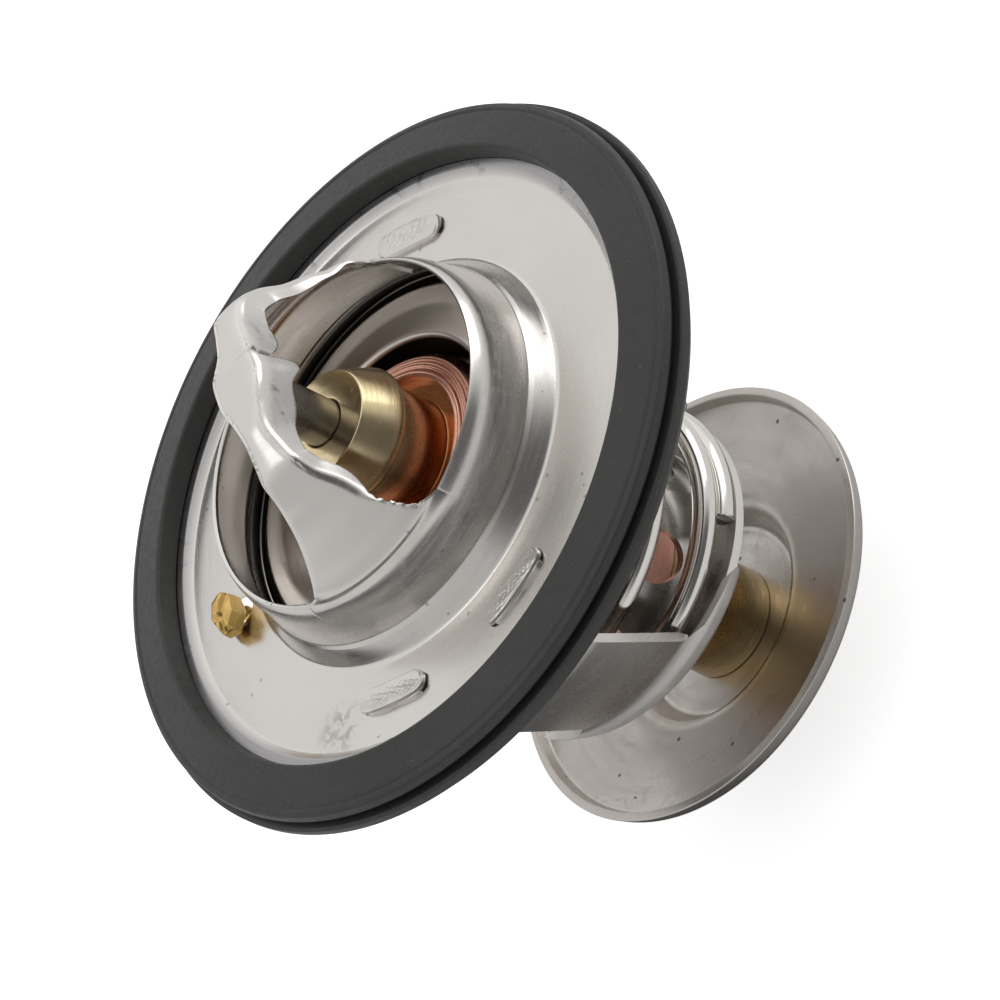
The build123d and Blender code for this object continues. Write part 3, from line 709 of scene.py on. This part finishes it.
bridge = {
    "gauge": 0.95, "clamp": 0.8, "edge": 0.12, "edgeAngle": 60,
    # the flange's section from its edge inwards, and up the collar to the window's foot
    "flangePath": [(33.5, 3.2), (29.9, 3.2), (29.1, 2.6), (20.7, 2.6), (19.5, 4.5), (19.15, 4.9),
                   (18.9, 6.2), (18.5, 8.2)],
    "flangeBends": [0, 0.5, 0.5, 0.6, 0.5, 0.4, 6.0, 0],
    "rimPath": [(18.5, 8.2), (18.28, 9.3), (17.98, 10.2), (17.55, 10.9)],
    "rimRows": 9,
    "footAngle": 31.0,  # half the angle that a foot of the strap takes of the collar
    "across": 61, "windowColumns": 150, "strapRows": 260,
    "cornerR": 1.0, "cornerDeep": 1.2,  # the corner grows to its radius as the wall gets deeper
    "lean": 12.0,                       # how far the walls lean outwards, in degrees
    "crown": 0.26, "cornerIn": 0.55, "leastFlat": 0.3, "leastCorner": 1e-6,
    "follow": (9.0, 14.0), "followR": 12.0,  # where the strap starts to follow the collar
    "curl": 0.4, "curlPower": 6, "curlHigh": (10.9, 12.6),
    "skinDeep": 0.5, "dentFade": 1.0,        # dents fade away down the walls
    "socket": {"y": 0.3, "span": 2.6, "down": (1.2, 4.5), "push": 0.35},
    "nip": {"y": 2.3, "span": 0.6, "down": (0.15, 1.6), "push": -0.75},
    # dents in the top: depth, place and span along y, place and span along x
    "dents": [(0.22, -0.2, 1.1, 0.0, 1e9), (0.28, 2.4, 0.8, 0.9, 1.6), (0.16, -3.6, 1.4, -0.6, 1.4),
              (0.12, 7.5, 2.0, 0.0, 1e9)],
    "teeth": [(9.0, 0.0, 0.5), (23.0, 1.0, 0.35), (41.0, 0.0, 0.2)],  # waves up the sheared edge
    "toothIn": 0.16, "toothDown": 0.08, "toothSet": 0.1,
    "toothFrom": (11.4, 12.0), "toothTo": (14.8, 16.0), "toothEdge": (0.93, 1.0),
    "ventX": -23.3, "ventHoleR": 1.55,
}

# Stations along the strap, from the near foot over the top to the far foot:
# y, z, half width to the right, half width to the left, wall depth right, wall depth left.
strapStations = [
    (-17.95, 10.9, 9.05, 9.05, 0.0, 0.0),
    (-17.85, 11.5, 7.9, 7.8, 0.0, 0.1),
    (-17.4, 12.4, 6.9, 6.9, 0.0, 0.5),
    (-16.4, 13.6, 5.75, 5.9, 0.1, 0.9),
    (-15.3, 15.0, 4.5, 4.9, 0.5, 1.2),
    (-13.4, 17.4, 3.4, 3.6, 1.9, 1.8),
    (-12.15, 20.0, 2.4, 2.5, 2.2, 2.1),
    (-10.8, 21.95, 2.0, 2.05, 2.4, 2.3),
    (-9.0, 22.95, 1.6, 1.65, 3.1, 3.0),
    (-6.6, 24.0, 1.3, 1.35, 4.2, 3.8),
    (-4.5, 24.45, 1.7, 1.7, 4.6, 4.4),
    (-1.9, 24.7, 2.45, 2.4, 4.2, 4.8),
    (0.0, 24.8, 2.7, 2.65, 5.1, 5.0),
    (1.4, 24.75, 2.6, 2.55, 4.9, 4.6),
    (2.6, 24.55, 2.25, 2.25, 3.0, 3.2),
    (4.6, 24.1, 1.95, 1.7, 3.9, 3.2),
    (7.2, 23.8, 1.6, 1.6, 3.6, 3.4),
    (10.3, 22.8, 1.75, 1.95, 2.9, 3.4),
    (12.5, 20.4, 2.4, 2.55, 2.4, 2.6),
    (13.9, 17.6, 3.45, 3.6, 1.9, 2.0),
    (15.6, 15.1, 4.8, 4.9, 1.4, 1.2),
    (16.4, 13.6, 5.9, 5.9, 0.9, 0.8),
    (17.4, 12.4, 6.9, 6.9, 0.4, 0.4),
    (17.85, 11.5, 7.9, 7.9, 0.1, 0.1),
    (17.95, 10.9, 9.05, 9.05, 0.0, 0.0),
]


# How far a pinch moves the walls: its push, times a bump along the strap, times a fade downwards.
def pinched(pinch, yRow, down):
    return pinch["push"] * bump(yRow - pinch["y"], pinch["span"]) * fade(down, *pinch["down"])


# The strap is a grid: rows run over the bridge, columns across it. Across a row the skin is flat,
# turns through an arc and goes on down as a wall that leans outwards. s is the share of the length
# from the middle to the wall's lower edge. Near the feet the skin follows the collar's round.
def strapGrid():
    station = smoothCurve(strapStations, bridge["strapRows"])
    y, z, halfRight, halfLeft, deepRight, deepLeft = station.T
    along = unit(np.gradient(station[:, :2], axis=0))
    inwardY, inwardZ = along[:, 1], -along[:, 0]
    s = np.linspace(-1, 1, bridge["across"])[None, :]
    right = s > 0
    half = np.where(right, halfRight[:, None], halfLeft[:, None])
    deep = np.clip(np.where(right, deepRight[:, None], deepLeft[:, None]), 0, None)
    corner = bridge["cornerR"] * fade(deep, 0.0, bridge["cornerDeep"])
    flat = np.clip(half - corner * bridge["cornerIn"], bridge["leastFlat"], None)
    turn = math.radians(90 - bridge["lean"])
    arcLength = corner * turn
    straight = np.clip(deep - corner, 0, None)
    length = np.abs(s) * (flat + arcLength + straight)
    least = bridge["leastCorner"]
    phi = np.clip((length - flat) / np.maximum(corner, least), 0, turn) * (corner > least)
    beyond = np.clip(length - flat - arcLength, 0, None)
    out = np.minimum(length, flat) + corner * np.sin(phi) + beyond * math.cos(turn)
    down = corner * (1 - np.cos(phi)) + beyond * math.sin(turn)
    # the walls stand round the piston as a socket, and a nip ends the right one's tongue
    yRow = y[:, None] + 0 * s
    out = out + pinched(bridge["socket"], yRow, down)
    out = out + pinched(bridge["nip"], yRow, down) * right
    # near the feet y falls back as on a circle: the radius, less the root of radius^2 - out^2
    follow = fade(np.abs(y), *bridge["follow"])[:, None]
    radius = np.maximum(np.abs(y), bridge["followR"])[:, None]
    chord = np.minimum(out, radius * 0.9)
    roundOff = (radius - np.sqrt(np.maximum(radius ** 2 - chord ** 2, 0))) * follow
    crown = (out / np.maximum(half, 0.5)) ** 2 * bridge["crown"] * (1 - follow) * (out <= half)
    px = np.sign(s) * out
    py = yRow - np.sign(yRow) * roundOff + inwardY[:, None] * down
    pz = z[:, None] + inwardZ[:, None] * down - crown
    # the rim's inward curl continues a little way up the strap's edges
    curl = np.abs(s) ** bridge["curlPower"] * (1 - fade(z[:, None], *bridge["curlHigh"]))
    py = py - np.sign(yRow) * curl * bridge["curl"]
    # dents pressed into the skin near the top
    dent = sum(dentAt(px, yRow, mark) for mark in bridge["dents"])
    skin = bridge["skinDeep"]
    pz = pz - dent * np.where(down < skin, 1, bump(down - skin, bridge["dentFade"]))
    # the sheared edge on the near right side is ragged
    tooth = waves(z, bridge["teeth"])[:, None]
    rows = fade(z, *bridge["toothFrom"]) * (1 - fade(z, *bridge["toothTo"])) * (y < 0)
    ragged = rows[:, None] * fade(s, *bridge["toothEdge"])
    px = px - ragged * tooth * bridge["toothIn"]
    pz = pz - ragged * (bridge["toothSet"] + tooth * bridge["toothDown"])
    return np.stack([px, py, pz], axis=-1)


# A profile (radius, height) carried round the axis through some angles, from the near foot's
# middle: x is radius x sin, and y is minus radius x cos.
def collarRing(profile, angles):
    radius, z = profile.T[:, :, None]
    return np.stack([radius * np.sin(angles), -radius * np.cos(angles), z + 0 * angles], axis=-1)


footAngle = math.radians(bridge["footAngle"])
footAngles = np.arcsin(np.linspace(-1, 1, bridge["across"]) * math.sin(footAngle))
windowAngles = np.linspace(footAngle, math.pi - footAngle, bridge["windowColumns"])
allAngles = np.concatenate([footAngles, windowAngles[1:-1], footAngles + math.pi,
                            windowAngles[1:-1] + math.pi])
skirt = rounded(bridge["flangePath"], bridge["flangeBends"], closed=False, step=0.4)
rimRise = smoothCurve(bridge["rimPath"], bridge["rimRows"])
strap = strapGrid()
# rows below the strap, from the collar up to the window's rim
nearFoot = collarRing(rimRise, footAngles)
bulge = strap[0][:, 1] - nearFoot[-1][:, 1]
nearFoot[:, :, 1] += np.linspace(0, 1, len(rimRise))[:, None] ** 2 * bulge[None, :]
farFoot = nearFoot * np.array([-1, -1, 1])
strap[0] = nearFoot[-1]
strap[-1] = farFoot[-1][::-1]
patches = [(collarRing(skirt, allAngles), True), (collarRing(rimRise, windowAngles), False),
           (collarRing(rimRise, windowAngles + math.pi), False), (nearFoot, False), (farFoot, False),
           (strap, False)]
shell = meshObject("bridgeShell", *joinGrids(patches), weld=0.004)
if sum(p.normal.z * p.area for p in shell.data.polygons) < 0:     # the skin faces up and outwards
    shell.data.flip_normals()
give(shell.modifiers.new("gauge", "SOLIDIFY"), thickness=bridge["gauge"] * mm, offset=-1,
     use_even_offset=False, thickness_clamp=bridge["clamp"])
give(shell.modifiers.new("edges", "BEVEL"), width=bridge["edge"] * mm, segments=2,
     limit_method="ANGLE", angle_limit=math.radians(bridge["edgeAngle"]))
holeR = bridge["ventHoleR"]
cutter = {"corners": [(0, 0), (holeR, 0), (holeR, 5), (0, 5)], "bends": [0] * 4, "segments": 64}
ventCutter = turned("ventCutter", cutter, closed=False)
ventCutter.data.transform(Matrix.Translation((bridge["ventX"] * mm, 0, 0)))
give(shell.modifiers.new("vent", "BOOLEAN"), object=ventCutter, operation="DIFFERENCE",
     solver="EXACT")
applyModifiers(shell)
bpy.data.objects.remove(ventCutter)
dress(shell, finishes["sheetSteel"])
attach(shell, "fixed_frame")
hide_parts("bridge_flange")
print("bridge made", len(shell.data.polygons))

tab = {
    "angles": (-109.8, -70.2, 70.2, 109.8), "radius": 24.55, "halfLength": 4.15, "halfWidth": 1.32,
    "foot": 2.45, "height": 0.95,
    "squareness": 3.2,  # 2 is an ellipse, more is squarer
    "tilt": 0.2,       # how much of its height the top gains from the middle to the edge
    "fallOff": 0.12,    # how much of it the top's own edge loses
    "rows": 26, "columns": 96,
    "skirt": [(1.03, 0.3), (1.02, 0.75), (0.97, 1.0)],  # share outwards, share of the fall
    "wave": (5.1, 1.3, 4.0, 6.3, 2.2), "waveHeight": 0.055,  # how fast it goes along and across
    "grain": (13.0, 17.0, 4.0), "grainHeight": 0.03, "spread": 0.8,
}


# A tab's upset head: rings of a squared-off oval, from the middle of the top to the edge and down
# the side. Along is the sign of the cosine x its size to the power 2 over squareness x half the
# length, across the same with the sine. The top tilts up away from the axis, and products of
# sines roughen it.
def tabHead(angle):
    rows = tab["rows"]
    skirtOut, skirtFall = zip(*tab["skirt"])
    share = np.concatenate([np.linspace(0, 1, rows) ** tab["spread"], skirtOut])[:, None]
    fall = np.concatenate([np.zeros(rows), skirtFall])[:, None]
    turn = np.linspace(0, fullTurn, tab["columns"], endpoint=False)[None, :]
    power = 2 / tab["squareness"]
    along = np.sign(np.cos(turn)) * np.abs(np.cos(turn)) ** power * tab["halfLength"] * share
    across = np.sign(np.sin(turn)) * np.abs(np.sin(turn)) ** power * tab["halfWidth"] * share
    w, g = tab["wave"], tab["grain"]
    wave = np.sin(along * w[0] + w[1] * np.sin(across * w[2] + angle))
    wave = wave * np.sin(across * w[3] + along * w[4] + angle) * tab["waveHeight"]
    grain = np.sin(along * g[0] + angle) * np.cos(across * g[1] + along * g[2]) * tab["grainHeight"]
    tilt = 1 - tab["tilt"] + tab["tilt"] * across / tab["halfWidth"]
    up = tab["foot"] + tab["height"] * tilt * (1 - tab["fallOff"] * share ** 5) * (1 - fall)
    up = up + (wave + grain) * (1 - share ** 6).clip(0, 1)
    cos, sin = math.cos(math.radians(angle)), math.sin(math.radians(angle))
    px = cos * (tab["radius"] + across) - sin * along
    py = sin * (tab["radius"] + across) + cos * along
    return np.stack([px, py, up + 0 * turn], axis=-1)


grids = joinGrids([(tabHead(angle), True) for angle in tab["angles"]])
heads = meshObject("tabHeads", *grids, sharpAngle=40, fill=True)
dress(heads, finishes["tabSteel"])
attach(heads, "fixed_frame")
print("tab heads made")

vent = {
    "x": bridge["ventX"], "lean": (-0.62, -0.62), "long": 1.34, "short": 0.86, "facets": 7,
    "facetStart": 0.4, "facetSize": 1.06, "rows": 110, "columns": 84,
    # height, radius and share of the lean, from the foot up to the pinched head
    "rings": [(-2.4, 0.0, 0), (-2.4, 0.55, 0), (-2.2, 0.7, 0), (2.2, 0.7, 0), (2.75, 0.85, 0.6),
              (3.0, 1.5, 0.9), (3.3, 1.85, 1), (4.3, 1.82, 1), (4.9, 1.55, 1), (5.25, 0.95, 1),
              (5.3, 0.5, 1), (5.32, 0.0, 1)],
    "headFrom": (2.8, 3.2), "pinchFrom": (4.0, 5.0), "dentFrom": (3.6, 4.6),
    "pinch": (0.5, 0.15, 0.34),        # depth, offset and span along a slanting line
    "pinchLine": (0.93, -0.36),
    "notch": (0.3, -0.5, 0.3, -0.7, 0.8),  # depth, place and span along y, and along x
    "dent": (0.2, 0.8, 0.7, 0.9, 0.6),
}


# The pin is a grid of rings, round below and a long, faceted oval in the head: a facet's radius
# is the cosine of half its angle over the cosine of the angle from its middle. The pinch, the
# notch and the dent are bumps that sink the head.
def ventGrid():
    rings = np.array(vent["rings"], float)
    steps = np.linspace(0, len(rings) - 1, vent["rows"])
    levels = [np.interp(steps, np.arange(len(rings)), rings[:, k])[:, None] for k in range(3)]
    height, reach, lean = levels
    turn = np.linspace(0, fullTurn, vent["columns"], endpoint=False)[None, :]
    wedge = fullTurn / vent["facets"]
    flat = math.cos(wedge / 2) / np.cos((turn + vent["facetStart"]) % wedge - wedge / 2)
    head = fade(height, *vent["headFrom"])
    reach = reach * (1 + head * (flat * vent["facetSize"] - 1))
    px = reach * np.cos(turn) * (1 + head * (vent["short"] - 1))
    py = reach * np.sin(turn) * (1 + head * (vent["long"] - 1))
    depth, offset, span = vent["pinch"]
    line = px * vent["pinchLine"][0] + py * vent["pinchLine"][1]
    sink = (depth * bump(line - offset, span) + dentAt(px, py, vent["notch"])) * fade(
        height, *vent["pinchFrom"])
    sink = sink + dentAt(px, py, vent["dent"]) * fade(height, *vent["dentFrom"])
    px = vent["x"] + px + lean * vent["lean"][0]
    return np.stack([px, py + lean * vent["lean"][1], height - sink], axis=-1)


ventPin = meshObject("ventPin", *joinGrids([(ventGrid(), True)]), sharpAngle=24)
dress(ventPin, finishes["ventBrass"])
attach(ventPin, "vent")
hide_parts("vent_pin")
print("vent pin made")

for name, finish in {
    "cage": "cageSteel", "piston_washer": "ptfe", "transfer_plug": "innerRubber",
    "diaphragm": "innerRubber", "wax_charge": "wax", "vent_weight": "ventBrass",
}.items():
    dress(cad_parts[name], finishes[finish])
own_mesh(coil)
print("nodes dressed")

studio = {
    "floorZ": -0.0516,     # just under the disc with the valve fully open
    "floorHalf": 6.0,
    "floorColour": (0.93, 0.93, 0.93, 1),
    "floorGlow": 0.55,     # what the floor adds where it is seen directly
    "floorNear": 0.1,     # how bright metal mirrors its glow, in the painted shadow close under the object and far off
    "floorFar": 0.8,
    "shadeCentre": (-0.02, -0.006),
    "shadeSpan": (0.022, 0.06),
    "wall": 0.62,          # the room's brightness
    # brighter and darker sides of it: direction in the view, span and amount
    "sides": [((-0.9, 0.35, -0.2), (0.0, 0.95), 0.26), ((1.0, -0.1, -0.4), (0.1, 0.9), -0.22),
              ((0.1, 1.0, 0.1), (0.3, 0.95), 0.25)],
    "opening": ((0.38, 0.22, 0.9), (0.72, 0.95), 0.8),  # a dark opening behind the camera
    "plainLight": 0.75,    # what the room gives to matt surfaces
    # lamps: name, direction in the view, distance, size and power
    "lamps": [("topLamp", (0.2, 0.95, 0.15), 0.5, 0.3, 0.46),
              ("sideLamp", (-0.85, 0.15, 0.45), 0.6, 0.25, 0.14)],
}
view = {
    "place": (0.41657, -0.63254, 0.56727),
    "right": (0.66804, -0.21137, -0.71347),
    "up": (0.60247, 0.71639, 0.35187),
    "back": (0.43674, -0.6649, 0.60593),
    "lens": 360.0, "sensor": 36.0, "clip": (0.05, 40.0),
}
viewAxes = np.array([view["right"], view["up"], view["back"]]).T


# A direction in the view, turned into the object's own axes: right x the right axis + up x the
# up axis + back x the back axis, made one long.
def inView(right, up, back):
    direction = viewAxes @ np.array([right, up, back], float)
    return tuple((direction / np.linalg.norm(direction)).tolist())


# White light from a surface.
def whiteEmission(tree, strength):
    return addNode(tree, "Emission", {"Color": (1, 1, 1, 1), "Strength": strength}).outputs[0]


# 1 where a ray comes straight from the camera or through something clear, and 0 elsewhere.
def seenDirectly(tree, path):
    return math2(tree, "MAXIMUM", path.outputs["Is Camera Ray"], path.outputs["Is Transmission Ray"])


half, floorZ = studio["floorHalf"], studio["floorZ"]
floorMesh = bpy.data.meshes.new("studioFloor")
floorMesh.from_pydata([(-half, -half, floorZ), (half, -half, floorZ), (half, half, floorZ),
                       (-half, half, floorZ)], [], [(0, 1, 2, 3)])
floor = addObject("studioFloor", floorMesh)
floorMaterial, tree, shader = newMaterial("floorWhite")
setInputs(tree, shader,
          {"Base Color": studio["floorColour"], "Roughness": 0.9, "Specular IOR Level": 0.0})
path = addNode(tree, "LightPath", {})
glow = times(tree, seenDirectly(tree, path), studio["floorGlow"])
both = addNode(tree, "AddShader", {0: shader.outputs[0], 1: whiteEmission(tree, glow)})
# what metal mirrors of the floor: a pale glow, with a painted shadow close under the object
off = distanceFrom(tree, objectPoint(tree), (*studio["shadeCentre"], floorZ))
mirrored = remap(tree, off, studio["floorNear"], studio["floorFar"], *studio["shadeSpan"])
either = addNode(tree, "MixShader", {0: path.outputs["Is Glossy Ray"], 1: both.outputs[0],
                                     2: whiteEmission(tree, mirrored)})
setInputs(tree, tree.nodes["Material Output"], {"Surface": either.outputs[0]})
floorMesh.materials.append(floorMaterial)

world = bpy.data.worlds.new("studioWorld")
bpy.context.scene.world = world
world.use_nodes = True
tree = world.node_tree
outlook = addNode(tree, "TexCoord", {}).outputs["Generated"]


# How far a ray points along a direction: the product of the two, eased between the span's values.
def towards(tree, direction, span):
    dot = addNode(tree, "VectorMath", {0: outlook, 1: inView(*direction)}, operation="DOT_PRODUCT")
    return remap(tree, dot.outputs["Value"], 0.0, 1.0, *span, interpolation_type="SMOOTHSTEP")


# a where fac is 0 and b where it is 1.
def choose(tree, fac, a, b):
    return addNode(tree, "Mix", {"Factor": fac, "A": a, "B": b}).outputs["Result"]


room = studio["wall"]
for direction, span, amount in studio["sides"]:
    room = plus(tree, times(tree, towards(tree, direction, span), amount), room)
direction, span, shade = studio["opening"]
dimmed = times(tree, towards(tree, direction, span), shade)
room = times(tree, room, math2(tree, "SUBTRACT", 1.0, dimmed))
path = addNode(tree, "LightPath", {})
room = choose(tree, path.outputs["Is Diffuse Ray"], room, studio["plainLight"])
room = choose(tree, seenDirectly(tree, path), room, 1.0)
setInputs(tree, tree.nodes["Background"], {"Color": (1, 1, 1, 1), "Strength": room})


# A square lamp at a distance along a direction in the view, turned towards the object.
def areaLamp(name, direction, distance, size, power):
    data = give(bpy.data.lights.new(name, "AREA"), shape="RECTANGLE", size=size, size_y=size,
                energy=power)
    lamp = addObject(name, data)
    lamp.location = Vector(inView(*direction)) * distance
    lamp.rotation_euler = (-lamp.location).to_track_quat("-Z", "Y").to_euler()
    lamp.visible_camera = False


for lamp in studio["lamps"]:
    areaLamp(*lamp)

cameraData = give(bpy.data.cameras.new("studioCamera"), lens=view["lens"], sensor_fit="HORIZONTAL",
                  sensor_width=view["sensor"], clip_start=view["clip"][0], clip_end=view["clip"][1])
camera = addObject("studioCamera", cameraData)
turned = Matrix(viewAxes.tolist()).to_4x4()
turned.translation = Vector(view["place"])
camera.matrix_world = turned
bpy.context.scene.camera = camera
bpy.context.scene.view_settings.view_transform = "Standard"
print("studio ready")
